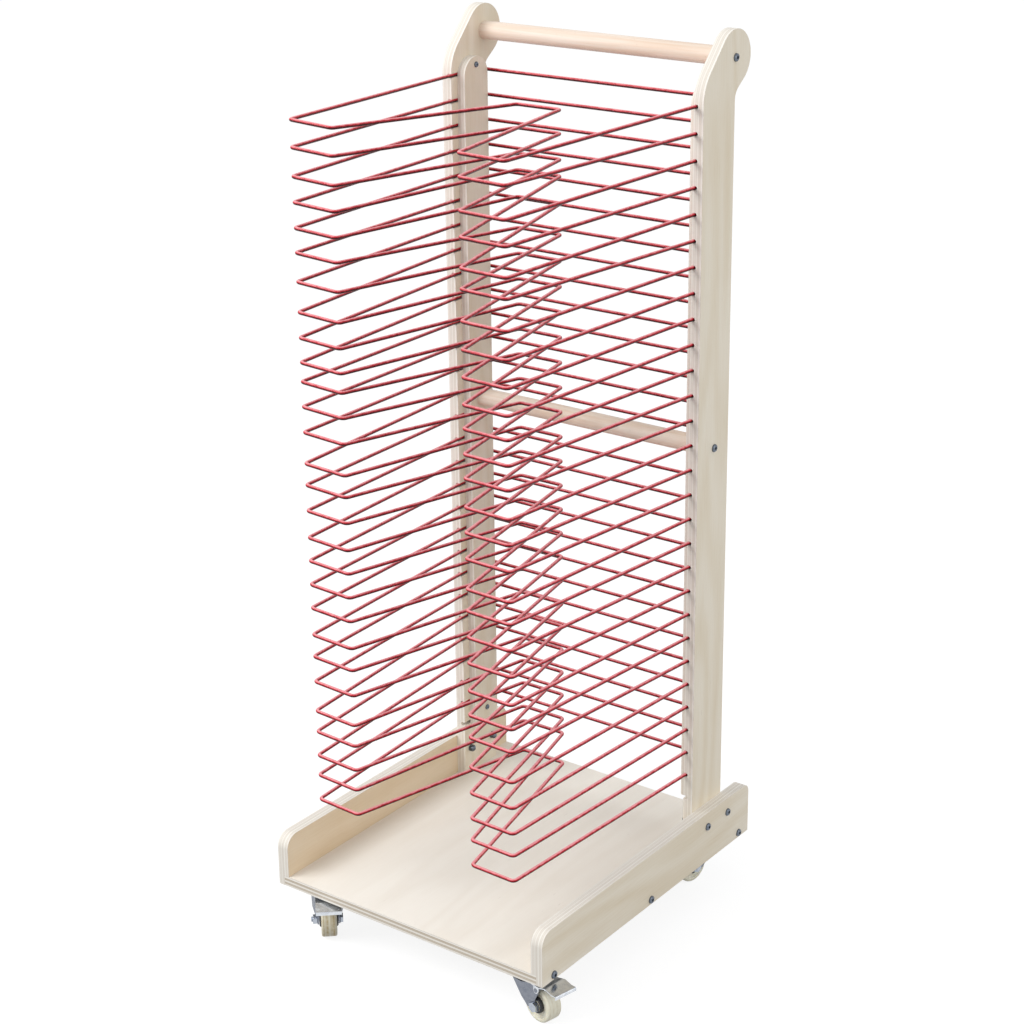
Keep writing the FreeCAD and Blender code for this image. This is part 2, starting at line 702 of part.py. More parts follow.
def make_fork(corner, braked):
    """Two cheeks and the round crown that joins them, bent from one plate.

    A cheek's rear edge bulges back from the crown to its heel; its front edge draws in to a waist
    between the lug that holds the pedal's pin and the eye that holds the axle.
    """
    body = new_body(corner + "_fork")
    crown = (("-fork_rear", "fork_top"), ("crown_front", "fork_top"))
    lug = (("fork_front", "fork_front_top"), ("fork_front", "fork_front_foot"))
    waist = ("trail + fork_waist_before", "wheel_radius + fork_waist_above")
    eye = (("trail + fork_eye_radius", "wheel_radius"), ("trail", "wheel_radius"),
           ("trail - fork_eye_radius * sin(fork_heel_angle)",
            "wheel_radius - fork_eye_radius * cos(fork_heel_angle)"))
    heel = ("trail - fork_heel_behind", "wheel_radius - fork_heel_below")
    belly = ("trail - fork_belly_behind", "wheel_radius + fork_belly_above")
    corners = crown + lug + (waist,) + eye + (heel, belly)
    pad(body, outline(body, "XZ_Plane", corners), FORK_WIDTH + " + 2 * fork_plate + 2 * fork_flare", True)
    rod(body, "Additive", "y", ("trail", "-(%s) / 2" % FORK_WIDTH, "wheel_radius"), "fork_eye_radius",
        FORK_WIDTH)
    spread_cheeks(body)
    box(body, "Subtractive", ("crown_front", "-fork_inner_width / 2", "0"),
        ("fork_front - crown_front", "fork_inner_width", "fork_top"))
    rod(body, "Additive", "z", ("0", "0", CROWN_UNDERSIDE), "crown_radius", "fork_plate")
    rod(body, "Subtractive", "z", ("0", "0", "0"), "kingpin_diameter / 2 + hole_clearance", "caster_height")
    rod(body, "Subtractive", "y", ("trail", "-(%s) / 2" % FORK_WIDTH, "wheel_radius"),
        "axle_diameter / 2 + hole_clearance", FORK_WIDTH)
    if braked:
        rod(body, "Subtractive", "y", ("pedal_pin_x", "-(%s) / 2" % FORK_WIDTH, "pedal_pin_z"),
            "pedal_pin_diameter / 2 + hole_clearance", FORK_WIDTH)
    return body


def make_wheel(corner):
    """A solid wheel with a rounded tread, a recessed face on each side and a long hub."""
    body = new_body(corner + "_wheel")
    hub = "fork_inner_width / 2 - swivel_gap"
    bore = "axle_diameter / 2 + wheel_bore_clearance"
    rod(body, "Additive", "y", ("0", "-wheel_width / 2", "0"), "wheel_radius", "wheel_width")
    for side in (-1, 1):
        tread = circle_edges(body.Tip.Shape, mm("wheel_radius"), "y", side * mm("wheel_width") / 2)
        fillet(body, tread, "wheel_round")
    for side in (-1, 1):
        y = low_x(side, "wheel_width / 2 - wheel_face_recess", "wheel_width / 2")
        rod(body, "Subtractive", "y", ("0", y, "0"), "wheel_radius - wheel_rim", "wheel_face_recess")
    rod(body, "Additive", "y", ("0", "-(%s)" % hub, "0"), "wheel_hub_radius", "2 * (%s)" % hub)
    rod(body, "Subtractive", "y", ("0", "-(%s)" % hub, "0"), bore, "2 * (%s)" % hub)
    return body


def make_axle_bolt():
    """A hexagon head bolt along Y through both cheeks."""
    body = new_body("caster_axle_bolt")
    reach = "(%s) / 2" % FORK_WIDTH
    end = "%s + axle_head_height + axle_thread_end" % reach
    rod(body, "Additive", "y", ("0", "-(%s)" % reach, "0"), "axle_diameter / 2", "%s + %s" % (reach, end))
    hexagon(body, "Additive", "y", ("0", "-(%s) - axle_head_height" % reach, "0"), "axle_head_flats",
            "axle_head_height")
    return body


def make_axle_nut():
    body = new_body("caster_axle_nut")
    reach = "(%s) / 2" % FORK_WIDTH
    hexagon(body, "Additive", "y", ("0", reach, "0"), "axle_head_flats", "axle_head_height")
    rod(body, "Subtractive", "y", ("0", reach, "0"), "axle_diameter / 2 + hole_clearance", "axle_head_height")
    return body


def make_pedal(corner):
    """A pressed pedal that rocks on a pin through the fork, with a shoe above the tread."""
    body = new_body(corner + "_brake_pedal")
    inner_width = "%s + 2 * pedal_side_gap" % FORK_WIDTH
    under = "fork_top + pedal_top_gap"
    top = under + " + pedal_plate"
    lip_foot = top + " + pedal_tip_rise - pedal_lip"
    cheek_rear = "pedal_pin_x - pedal_cheek_radius"
    cheek_front = "pedal_pin_x + pedal_cheek_radius"
    cheek = ((cheek_rear, "pedal_pin_z"), (cheek_front, "pedal_pin_z"), (cheek_front, top),
             (cheek_rear, top))
    pad(body, outline(body, "XZ_Plane", cheek), "pedal_width", True)
    rod(body, "Additive", "y", ("pedal_pin_x", "-pedal_width / 2", "pedal_pin_z"), "pedal_cheek_radius",
        "pedal_width")
    box(body, "Subtractive", (cheek_rear, "-(%s) / 2" % inner_width, "0"),
        ("2 * pedal_cheek_radius", inner_width, under))
    underside = (("pedal_rear", under), ("pedal_bend", under), ("pedal_crest", under + " + pedal_crest_rise"),
                 ("pedal_dip", under + " + pedal_dip_rise"),
                 ("pedal_tip - pedal_plate", under + " + pedal_tip_rise"))
    lip = (("pedal_tip - pedal_plate", lip_foot), ("pedal_tip", lip_foot))
    upper_side = (("pedal_tip", top + " + pedal_tip_rise"), ("pedal_dip", top + " + pedal_dip_rise"),
                  ("pedal_crest", top + " + pedal_crest_rise"), ("pedal_bend", top), ("pedal_rear", top))
    pad(body, outline(body, "XZ_Plane", underside + lip + upper_side), "pedal_width", True)
    rod(body, "Additive", "y", ("pedal_pin_x", "-pedal_width / 2", "pedal_pin_z"), "pedal_pin_diameter / 2",
        "pedal_width")
    tread = "(wheel_radius + sqrt(wheel_radius ^ 2 - (brake_shoe_rear - trail) ^ 2))"
    shoe_foot = tread + " + brake_shoe_gap"
    box(body, "Additive", ("brake_shoe_rear", "-brake_shoe_width / 2", shoe_foot),
        ("brake_shoe_front - brake_shoe_rear", "brake_shoe_width", "%s - (%s)" % (under, shoe_foot)))
    return body


def make_casters():
    """Every caster's own pieces in place, then the pieces that all four casters share in kind."""
    pieces = []
    places = []
    axle_bolt = make_axle_bolt()
    axle_nut = make_axle_nut()
    for corner in CASTERS:
        x, y = (number(text) for text in caster_axis(corner))
        place = Placement(Vector(x, y, 0), Rotation(Vector(0, 0, 1), mm(corner + "_turn")))
        hub = place.multiply(Placement(Vector(mm("trail"), 0, mm("wheel_radius")), Rotation()))
        fork = make_fork(corner, corner.startswith("front"))
        fork.Placement = place
        wheel = make_wheel(corner)
        wheel.Placement = hub
        axle = doc.addObject("Part::Compound", corner + "_axle")
        axle.Label = corner + "_axle"
        axle.Links = [axle_bolt, axle_nut]
        axle.Placement = hub
        pieces += [fork, wheel, axle]
        if corner.startswith("front"):
            pedal = make_pedal(corner)
            pedal.Placement = place
            pieces.append(pedal)
        places.append(Placement(Vector(x, y, 0), Rotation()))
    half_spacing = mm("caster_screw_spacing") / 2
    corner_steps = [Vector(step_x, step_y, 0) * half_spacing for step_x in (-1, 1) for step_y in (-1, 1)]
    screw_places = [Placement(place.Base + step, Rotation()) for place in places for step in corner_steps]
    pieces.append(group("caster_top_plates", make_top_plate(), places))
    pieces.append(group("caster_kingpins", make_kingpin(), places))
    pieces.append(group("caster_screws", make_caster_screw(), screw_places))
    return pieces


# ---------------------------------------------------------------- the whole rack
def make_pieces():
    pieces = [make_base_board()]
    for side_name, side in SIDES:
        pieces.append(make_rail(side_name, side))
        pieces.append(make_post(side_name, side))
        pieces.append(make_strip(side_name, side))
    pieces.append(make_dowel("handle_dowel", HANDLE_Y, HANDLE_Z, POST_INNER, "handle_diameter",
                             "dowel_bolt_length - post_thickness"))
    pieces.append(make_dowel("cross_dowel", CROSS_Y, CROSS_Z, STRIP_INNER, "cross_dowel_diameter",
                             "dowel_bolt_length - post_thickness - strip_thickness"))
    for order in range(1, int(mm("groove_count"))):
        pieces.append(make_shelf(order))
    return pieces + make_fasteners() + make_casters()


def stand_on_origin(pieces):
    """Put the origin on the floor under the middle of the rack's bounding box."""
    whole = FreeCAD.BoundBox()
    for piece in pieces:
        whole.add(piece.Shape.optimalBoundingBox(False))
    shift = Placement(Vector(-whole.Center.x, -whole.Center.y, 0), Rotation())
    for piece in pieces:
        piece.Placement = shift.multiply(piece.Placement)
    doc.recompute()
    return shift.Base


def check_document(pieces):
    for item in doc.Objects:
        if "Invalid" in item.State or "Error" in item.State:
            raise RuntimeError("%s did not compute" % item.Label)
    for piece in pieces:
        if piece.Shape.isNull() or not piece.Shape.isValid() or not piece.Shape.Solids:
            raise RuntimeError("%s has no valid solid" % piece.Label)


def main():
    pieces = make_pieces()
    doc.recompute()
    check_document(pieces)
    shift = stand_on_origin(pieces)
    check_document(pieces)
    os.makedirs("parts", exist_ok=True)
    for piece in pieces:
        piece.Shape.exportStep("parts/%s.step" % piece.Label)
    print("pieces %d, shift %.3f %.3f" % (len(pieces), shift.x, shift.y))


main()
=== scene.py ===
"""Finish of the mobile art drying rack: birch plywood, beech dowels, coated wire and plated casters.

Every length is in metres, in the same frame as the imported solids: X to the right, Y to the back,
Z up from the floor.
"""

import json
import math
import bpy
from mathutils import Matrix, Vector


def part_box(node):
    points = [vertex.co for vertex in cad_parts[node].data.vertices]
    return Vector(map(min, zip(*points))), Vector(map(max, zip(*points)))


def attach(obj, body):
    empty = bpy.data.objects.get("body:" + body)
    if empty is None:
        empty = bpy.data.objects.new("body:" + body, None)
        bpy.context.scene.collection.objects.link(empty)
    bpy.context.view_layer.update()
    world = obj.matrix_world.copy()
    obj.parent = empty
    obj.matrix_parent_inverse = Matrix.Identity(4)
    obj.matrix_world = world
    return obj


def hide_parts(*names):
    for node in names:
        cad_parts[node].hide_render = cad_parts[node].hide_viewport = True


bl_info = {
    "name": "Art Drying Rack Finish",
    "version": (1, 0, 0),
    "blender": (4, 5, 0),
    "location": "View3D > Sidebar > Drying Rack",
    "description": "Models and finishes the visible pieces of a mobile art drying rack",
    "category": "Object",
}

import bmesh
import bpy
from mathutils import Matrix, Vector

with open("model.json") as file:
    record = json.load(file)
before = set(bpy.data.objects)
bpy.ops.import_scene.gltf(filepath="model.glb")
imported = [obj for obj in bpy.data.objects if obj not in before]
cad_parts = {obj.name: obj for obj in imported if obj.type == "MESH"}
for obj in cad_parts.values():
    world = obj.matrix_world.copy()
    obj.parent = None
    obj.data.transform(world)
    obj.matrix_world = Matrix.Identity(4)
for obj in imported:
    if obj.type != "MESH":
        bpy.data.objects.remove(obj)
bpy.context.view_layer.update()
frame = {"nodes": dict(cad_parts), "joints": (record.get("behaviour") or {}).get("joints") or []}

MM = 0.001
NODES = frame["nodes"]
JOINTS = {joint["name"]: joint for joint in frame["joints"]}
SIDES = ("left", "right")
CASTERS = ("front_left", "front_right", "rear_left", "rear_right")
BRAKED = ("front_left", "front_right")
# how dirty each wheel's tread is
WEAR = {"front_left": 1.0, "front_right": 0.35, "rear_left": 0.6, "rear_right": 0.6}
SHELVES = sorted(name for name in NODES if name.startswith("wire_shelf_"))
AXES = {"X": 0, "Y": 1, "Z": 2}

# Distance at which corners are merged, and those within which they count as in one place
MERGE, NEAR, ROUGHLY = 0.002 * MM, 0.01 * MM, 0.05 * MM

# Sizes of the caster pieces, as their solids have them
WHEEL_RADIUS, WHEEL_WIDTH = 25.0 * MM, 22.0 * MM
HUB_BORE, HUB_RADIUS, HUB_REACH = 4.05 * MM, 8.5 * MM, 13.3 * MM
RIM, DISH, SEAL_RADIUS = 19.0 * MM, 3.0 * MM, 11.2 * MM
RING_DROP, TREAD_BAND = 0.6 * MM, 2.6 * MM
CHEEK_FACE, CHEEK_GAP = 16.0 * MM, 0.03 * MM
AXLE_RADIUS, AXLE_HEAD, THREAD = 4.0 * MM, 13.0 * MM, 0.9 * MM
HEAD_HEIGHT, LONG_NUT = 3.9 * MM, 6.3 * MM
PEDAL_HALF, SHOE_HALF = 18.0 * MM, 8.0 * MM
SPRING_RADIUS, SPRING_WIRE = 2.48 * MM, 0.7 * MM

# Places of the colour sockets on a Mix node, whose names repeat
MIX_A, MIX_B, MIX_COLOUR = 6, 7, 2

# How pale the floor is for light that it throws back, and for rays that see it; and its own glow
FLOOR_BOUNCE, FLOOR_SEEN, FLOOR_GLOW = 0.34, 0.22, 0.86


# ---------------------------------------------------------------- settings that a user would change
def linear(code):
    """An sRGB hex value as linear red, green, blue and full alpha."""
    channels = [int(code[start:start + 2], 16) / 255 for start in (0, 2, 4)]
    return [c / 12.92 if c <= 0.04045 else ((c + 0.055) / 1.055) ** 2.4 for c in channels] + [1.0]


def colour(name, description, code):
    return bpy.props.FloatVectorProperty(name=name, description=description, default=linear(code), size=4,
                                         subtype="COLOR", min=0.0, max=1.0)


def length(name, description, millimetres):
    return bpy.props.FloatProperty(name=name, description=description, default=millimetres * MM,
                                   unit="LENGTH", subtype="DISTANCE", precision=4)


def angle(name, description, degrees):
    return bpy.props.FloatProperty(name=name, description=description, default=math.radians(degrees),
                                   unit="ROTATION", subtype="ANGLE")


def factor(name, description, value):
    return bpy.props.FloatProperty(name=name, description=description, default=value, min=0.0, max=1.0,
                                   subtype="FACTOR")


def power(name, description, watts):
    return bpy.props.FloatProperty(name=name, description=description, default=watts, unit="POWER")


class RackColours(bpy.types.PropertyGroup):
    """Colours of the rack's finishes."""

    veneer: colour("Veneer", "Lacquered birch face veneer", "F4EBDA")
    veneer_grain: colour("Veneer grain", "Late wood and fibres in the face veneer", "E4D5BA")
    board_veneer: colour("Board veneer", "Paler birch face of the base board", "F8F2E8")
    board_grain: colour("Board grain", "Late wood of the base board", "F0E8DC")
    warm_veneer: colour("Warm veneer", "Darker birch face of the left side rail", "F1DFC4")
    warm_grain: colour("Warm grain", "Late wood of the left side rail", "E2CAA6")
    ply_light: colour("Light ply", "Plies cut along their grain, seen on an edge", "F4EFE6")
    ply_dark: colour("Dark ply", "Plies cut across their grain, seen on an edge", "C6B8A5")
    glue_line: colour("Glue line", "Thin brown line between two plies", "8F7A66")
    beech: colour("Beech", "Turned beech dowel", "F0E2D4")
    beech_grain: colour("Beech grain", "Pinkish late wood of the dowels", "E2C7AF")
    wire_coating: colour("Wire coating", "Red plastic coating of the shelves", "C61C2B")
    # The next two colours are painted light: a painted highlight on top of the wires and painted shade under
    # them.
    wire_painted_highlight: colour("Painted highlight on coating", "Painted highlight on top of the wires", "F59AA0")
    wire_painted_shade: colour("Painted shade on coating", "Painted shade under the wires", "40030C")
    zinc: colour("Zinc", "Zinc plating of the casters' forks and plates", "888C95")
    axle: colour("Axle bolts", "Zinc on the casters' axle bolts and nuts", "B4BAC3")
    bolt: colour("Bolts", "Blue-grey zinc on the bolts and screws", "6C737D")
    chrome: colour("Chrome", "Chromium plating of the brake pedals", "D8DCE1")
    nylon: colour("Nylon", "Cream nylon of the wheels", "EFEBD8")
    soil: colour("Soil", "Brown dirt worn into the treads", "B59F70")
    seal: colour("Seal", "Dark plastic seal round the hub", "26272B")


class RackSizes(bpy.types.PropertyGroup):
    """Small sizes of the finish."""

    wood_round: length("Wood edge", "Radius sanded on the plywood's edges", 1.4)
    ply: length("Ply", "Thickness of one ply, glue line included", 2.6)
    dowel_round: length("Dowel edge", "Radius at the ends of the dowels", 0.6)
    metal_round: length("Metal edge", "Radius at the edges of pressed steel", 0.4)
    lip_round: length("Pedal lip", "Radius where the pedal's plate turns down into its lip", 1.4)
    tread_round: length("Tread edge", "Radius at the edges of the wheels' treads", 3.0)


class RackStudio(bpy.types.PropertyGroup):
    """Camera and light."""

    azimuth: angle("Azimuth", "Camera direction round the rack, from the front to the right", 37.75)
    elevation: angle("Elevation", "Camera direction above the horizon", 20.03)
    roll: angle("Roll", "Turn of the picture about its middle", -1.09)
    distance: length("Distance", "From the aim to the camera", 3024.83)
    aim_x: length("Aim X", "Point that the camera looks at", -13.58)
    aim_y: length("Aim Y", "Point that the camera looks at", -77.37)
    aim_z: length("Aim Z", "Point that the camera looks at", 695.56)
    focal: bpy.props.FloatProperty(name="Focal length", description="Lens, in millimetres on a 36 mm sensor",
                                   default=81.34, unit="CAMERA")
    shift_x: bpy.props.FloatProperty(name="Shift X", description="Sideways lens shift", default=0.0395)
    shift_y: bpy.props.FloatProperty(name="Shift Y", description="Upward lens shift", default=-0.0508)
    ambient: factor("Ambient", "Strength of the even light from all sides", 0.7)
    key: power("Key light", "Power of the large soft lamp high on the left", 84.0)
    fill: power("Fill light", "Power of the weak lamp on the right", 20.0)


# ---------------------------------------------------------------- materials
def add_node(tree, kind, settings=None, values=None, links=None):
    """A node with its own settings, its sockets' values and its incoming links."""
    node = tree.nodes.new(kind)
    for name, value in (settings or {}).items():
        setattr(node, name, value)
    for socket, value in (values or {}).items():
        node.inputs[socket].default_value = value
    for socket, source in (links or {}).items():
        tree.links.new(source, node.inputs[socket])
    return node


def new_material(name, values):
    """A material with one Principled shader, and its node tree and shader."""
    material = bpy.data.materials.new(name)
    material.use_nodes = True
    tree = material.node_tree
    shader = tree.nodes["Principled BSDF"]
    for socket, value in values.items():
        shader.inputs[socket].default_value = value
    return material, tree, shader


def stretched(tree, grain, along, place=(0.0, 0.0, 0.0)):
    """Object coordinates in which a pattern is drawn out along one axis."""
    coordinates = add_node(tree, "ShaderNodeTexCoord")
    scale = [1.0, 1.0, 1.0]
    scale[AXES[grain]] = along
    mapping = add_node(tree, "ShaderNodeMapping", values={"Location": place, "Scale": scale},
                       links={"Vector": coordinates.outputs["Object"]})
    return mapping.outputs["Vector"]


def noise(tree, vector, per_metre, detail=2.0, roughness=0.5, distortion=0.0):
    node = add_node(tree, "ShaderNodeTexNoise", values={"Scale": per_metre, "Detail": detail,
                                                        "Roughness": roughness, "Distortion": distortion},
                    links={"Vector": vector})
    return node.outputs["Fac"]


def remap(tree, source, low, high, to_low=0.0, to_high=1.0):
    """A smooth step between two values of the source."""
    node = add_node(tree, "ShaderNodeMapRange", {"interpolation_type": "SMOOTHSTEP"},
                    {"From Min": low, "From Max": high, "To Min": to_low, "To Max": to_high}, {"Value": source})
    return node.outputs["Result"]


def calculate(tree, operation, first, second=None):
    """One Math node; each operand is a number or another node's output."""
    values, links = {}, {}
    for index, operand in enumerate((first, second)):
        if operand is not None:
            (values if isinstance(operand, (int, float)) else links)[index] = operand
    return add_node(tree, "ShaderNodeMath", {"operation": operation}, values, links).outputs["Value"]


def mix(tree, amount, first, second, blend="MIX"):
    """One colour mix; each colour is a value or another node's output, and so is the amount."""
    values, links = {}, {}
    for socket, item in ((0, amount), (MIX_A, first), (MIX_B, second)):
        is_link = isinstance(item, bpy.types.NodeSocket)
        (links if is_link else values)[socket] = item
    node = add_node(tree, "ShaderNodeMix", {"data_type": "RGBA", "blend_type": blend}, values, links)
    return node.outputs[MIX_COLOUR]


def bump(tree, shader, height, strength, depth):
    node = add_node(tree, "ShaderNodeBump", values={"Strength": strength, "Distance": depth},
                    links={"Height": height})
    tree.links.new(node.outputs["Normal"], shader.inputs["Normal"])


def birch_veneer(name, grain, place, pale, late):
    """Rotary-cut birch under a thin matt lacquer: broad faint figure, fine fibres, few brown flecks."""
    colours = bpy.context.scene.rack_colours
    material, tree, shader = new_material(name, {"Roughness": 0.48, "IOR": 1.5, "Specular IOR Level": 0.3})
    figure_field = noise(tree, stretched(tree, grain, 0.14, place), 7.0, 2.0, 0.45, 0.3)
    rings = calculate(tree, "PINGPONG", calculate(tree, "MULTIPLY", figure_field, 9.0), 0.5)
    figure = remap(tree, rings, 0.0, 0.45, 0.35, 0.0)
    fibres = noise(tree, stretched(tree, grain, 0.035, place), 620.0, 3.0, 0.6)
    clouds = noise(tree, stretched(tree, grain, 0.35, place), 12.0, 2.0, 0.5)
    tone = calculate(tree, "ADD", figure, remap(tree, fibres, 0.35, 0.75, 0.0, 0.25))
    tone = calculate(tree, "ADD", tone, remap(tree, clouds, 0.35, 0.7, 0.0, 0.3))
    wood = mix(tree, tone, pale, late)
    flecks = remap(tree, noise(tree, stretched(tree, grain, 0.12, place), 480.0, 1.0), 0.75, 0.82, 0.0, 0.2)
    tree.links.new(mix(tree, flecks, wood, colours.glue_line), shader.inputs["Base Color"])
    tree.links.new(remap(tree, fibres, 0.2, 0.8, 0.42, 0.56), shader.inputs["Roughness"])
    bump(tree, shader, fibres, 0.1, 0.12 * MM)
    return material


def plywood_edge(name, across, low, thickness, place, contrast):
    """A sanded plywood edge: plies that alternate between long and end grain, with brown glue lines."""
    scene = bpy.context.scene
    colours = scene.rack_colours
    material, tree, shader = new_material(name, {"Roughness": 0.6, "IOR": 1.5, "Specular IOR Level": 0.25})
    plies = max(3, 2 * round((thickness / scene.rack_sizes.ply - 1) / 2) + 1)
    coordinates = add_node(tree, "ShaderNodeTexCoord")
    split = add_node(tree, "ShaderNodeSeparateXYZ", links={"Vector": coordinates.outputs["Object"]})
    waver = remap(tree, noise(tree, coordinates.outputs["Object"], 14.0, 1.0), 0.3, 0.7, -0.06, 0.06)
    depth = calculate(tree, "SUBTRACT", split.outputs[AXES[across]], low)
    layer = calculate(tree, "ADD", calculate(tree, "DIVIDE", depth, thickness / plies), waver)
    number = calculate(tree, "FLOOR", layer)
    cross = calculate(tree, "FLOORED_MODULO", number, 2.0)
    from_middle = calculate(tree, "ABSOLUTE", calculate(tree, "SUBTRACT", calculate(tree, "FRACT", layer), 0.5))
    line = remap(tree, from_middle, 0.36, 0.46, 0.0, 0.25)
    own_tone = add_node(tree, "ShaderNodeTexWhiteNoise", {"noise_dimensions": "1D"}, links={"W": number})
    grain = noise(tree, stretched(tree, across, 2.0, place), 500.0, 3.0, 0.6)
    end_grain = calculate(tree, "MULTIPLY", cross, remap(tree, grain, 0.3, 0.75, 0.7 * contrast, contrast))
    tone = calculate(tree, "ADD", end_grain, remap(tree, own_tone.outputs["Value"], 0.0, 1.0, 0.0, 0.12))
    wood = mix(tree, tone, colours.ply_light, colours.ply_dark)
    tree.links.new(mix(tree, line, wood, colours.glue_line), shader.inputs["Base Color"])
    tree.links.new(remap(tree, grain, 0.2, 0.8, 0.5, 0.7), shader.inputs["Roughness"])
    bump(tree, shader, calculate(tree, "SUBTRACT", grain, line), 0.1, 0.06 * MM)
    return material


def beech_dowel(name, place):
    """Turned beech: pinkish streaks along the bar and the short dark flecks of its rays."""
    colours = bpy.context.scene.rack_colours
    material, tree, shader = new_material(name, {"Roughness": 0.45, "IOR": 1.5, "Specular IOR Level": 0.35})
    streaks = noise(tree, stretched(tree, "X", 0.03, place), 260.0, 3.0, 0.6)
    broad = noise(tree, stretched(tree, "X", 0.12, place), 60.0, 2.0, 0.5)
    tone = calculate(tree, "ADD", remap(tree, streaks, 0.35, 0.7, 0.0, 0.5),
                     remap(tree, broad, 0.3, 0.75, 0.0, 0.4))
    wood = mix(tree, tone, colours.beech, colours.beech_grain)
    rays = remap(tree, noise(tree, stretched(tree, "X", 0.3, place), 900.0, 1.0), 0.7, 0.78, 0.0, 0.25)
    tree.links.new(mix(tree, rays, wood, colours.glue_line), shader.inputs["Base Color"])
    bump(tree, shader, streaks, 0.1, 0.1 * MM)
    return material


def coated_wire(name):
    """Steel wire dipped in soft red plastic with a satin gloss, with a painted highlight on top of the wires
    and painted shade under them.
    """
    colours = bpy.context.scene.rack_colours
    material, tree, shader = new_material(name, {"IOR": 1.5, "Specular IOR Level": 0.25})
    coordinates = add_node(tree, "ShaderNodeTexCoord")
    uneven = noise(tree, coordinates.outputs["Object"], 120.0, 3.0, 0.6)
    skin = noise(tree, coordinates.outputs["Object"], 900.0, 2.0, 0.5)
    facing = add_node(tree, "ShaderNodeSeparateXYZ", links={"Vector": coordinates.outputs["Normal"]})
    # Painted light: the colour follows which way the surface faces, paler on top as a painted highlight and
    # darker underneath as painted shade, with a little random unevenness.
    painted_light_by_facing = calculate(tree, "ADD", facing.outputs["Z"], remap(tree, uneven, 0.3, 0.7, -0.12, 0.12))
    painted_shade_below = mix(tree, remap(tree, painted_light_by_facing, -0.15, 0.5), colours.wire_painted_shade, colours.wire_coating)
    tree.links.new(mix(tree, remap(tree, painted_light_by_facing, 0.5, 0.9), painted_shade_below, colours.wire_painted_highlight),
                   shader.inputs["Base Color"])
    tree.links.new(remap(tree, uneven, 0.3, 0.7, 0.22, 0.34), shader.inputs["Roughness"])
    bump(tree, shader, skin, 0.1, 0.06 * MM)
    return material


def plated_steel(name, tint, polish):
    """Plated steel: a metal of one tint whose polish varies softly, with faint wipe marks."""
    material, tree, shader = new_material(name, {"Metallic": 1.0})
    coordinates = add_node(tree, "ShaderNodeTexCoord").outputs["Object"]
    patches = noise(tree, coordinates, 160.0, 3.0, 0.6)
    marks = noise(tree, stretched(tree, "Z", 0.15), 1400.0, 2.0, 0.5)
    dull = mix(tree, 1.0, tint, linear("E6E8EC"), "MULTIPLY")
    tree.links.new(mix(tree, remap(tree, patches, 0.35, 0.75), tint, dull), shader.inputs["Base Color"])
    tree.links.new(remap(tree, patches, 0.25, 0.75, polish * 0.7, polish * 1.4), shader.inputs["Roughness"])
    bump(tree, shader, marks, 0.05, 0.02 * MM)
    return material


def cream_nylon(name):
    """Cast nylon: waxy, a little see-through, faintly mottled where it has rolled."""
    colours = bpy.context.scene.rack_colours
    material, tree, shader = new_material(name, {"IOR": 1.53, "Subsurface Weight": 0.15,
                                                 "Subsurface Radius": (0.004, 0.003, 0.002)})
    coordinates = add_node(tree, "ShaderNodeTexCoord").outputs["Object"]
    mottle = noise(tree, coordinates, 210.0, 3.0, 0.6)
    dusty = mix(tree, 1.0, colours.nylon, linear("ECE8DC"), "MULTIPLY")
    tree.links.new(mix(tree, remap(tree, mottle, 0.4, 0.75), colours.nylon, dusty), shader.inputs["Base Color"])
    tree.links.new(remap(tree, mottle, 0.3, 0.7, 0.32, 0.5), shader.inputs["Roughness"])
    bump(tree, shader, mottle, 0.1, 0.1 * MM)
    return material


def worn_tread(name, axle, wear):
    """Nylon that has rolled on dirty floors: dull, with brown and grey streaks round the wheel."""
    colours = bpy.context.scene.rack_colours
    material, tree, shader = new_material(name, {"IOR": 1.53})
    coordinates = add_node(tree, "ShaderNodeTexCoord").outputs["Object"]
    across = add_node(tree, "ShaderNodeVectorMath", {"operation": "DOT_PRODUCT"}, {1: axle}, {0: coordinates})
    streaks = add_node(tree, "ShaderNodeTexNoise", {"noise_dimensions": "1D"}, {"Scale": 330.0, "Detail": 2.0},
                       {"W": across.outputs["Value"]}).outputs["Fac"]
    mottle = noise(tree, coordinates, 190.0, 3.0, 0.6)
    soil = calculate(tree, "MULTIPLY", remap(tree, streaks, 0.35, 0.65, 0.25 * wear, wear),
                     remap(tree, mottle, 0.2, 0.7, 0.4, 1.0))
    tree.links.new(mix(tree, soil, colours.nylon, colours.soil), shader.inputs["Base Color"])
    tree.links.new(remap(tree, mottle, 0.3, 0.7, 0.42, 0.6), shader.inputs["Roughness"])
    bump(tree, shader, mottle, 0.15, 0.1 * MM)
    return material


def hub_seal(name):
    """Moulded dark plastic with a fine matt texture."""
    colours = bpy.context.scene.rack_colours
    material, tree, shader = new_material(name, {"IOR": 1.46})
    coordinates = add_node(tree, "ShaderNodeTexCoord").outputs["Object"]
    texture = noise(tree, coordinates, 1500.0, 2.0, 0.6)
    lighter = mix(tree, 1.0, colours.seal, linear("FFFFFF"), "ADD")
    tree.links.new(mix(tree, remap(tree, texture, 0.4, 0.8, 0.0, 0.04), colours.seal, lighter),
                   shader.inputs["Base Color"])
    tree.links.new(remap(tree, texture, 0.3, 0.7, 0.4, 0.6), shader.inputs["Roughness"])
    bump(tree, shader, texture, 0.2, 0.05 * MM)
    return material


# ---------------------------------------------------------------- shapes
def merged_copy(node):
    """A CAD node's shape with its loose triangles joined and each flat area made one face."""
    shape = bmesh.new()
    shape.from_mesh(NODES[node].data)
    bmesh.ops.remove_doubles(shape, verts=shape.verts, dist=MERGE)
    bmesh.ops.dissolve_limit(shape, angle_limit=math.radians(0.4), verts=shape.verts, edges=shape.edges)
    shape.normal_update()
    return shape


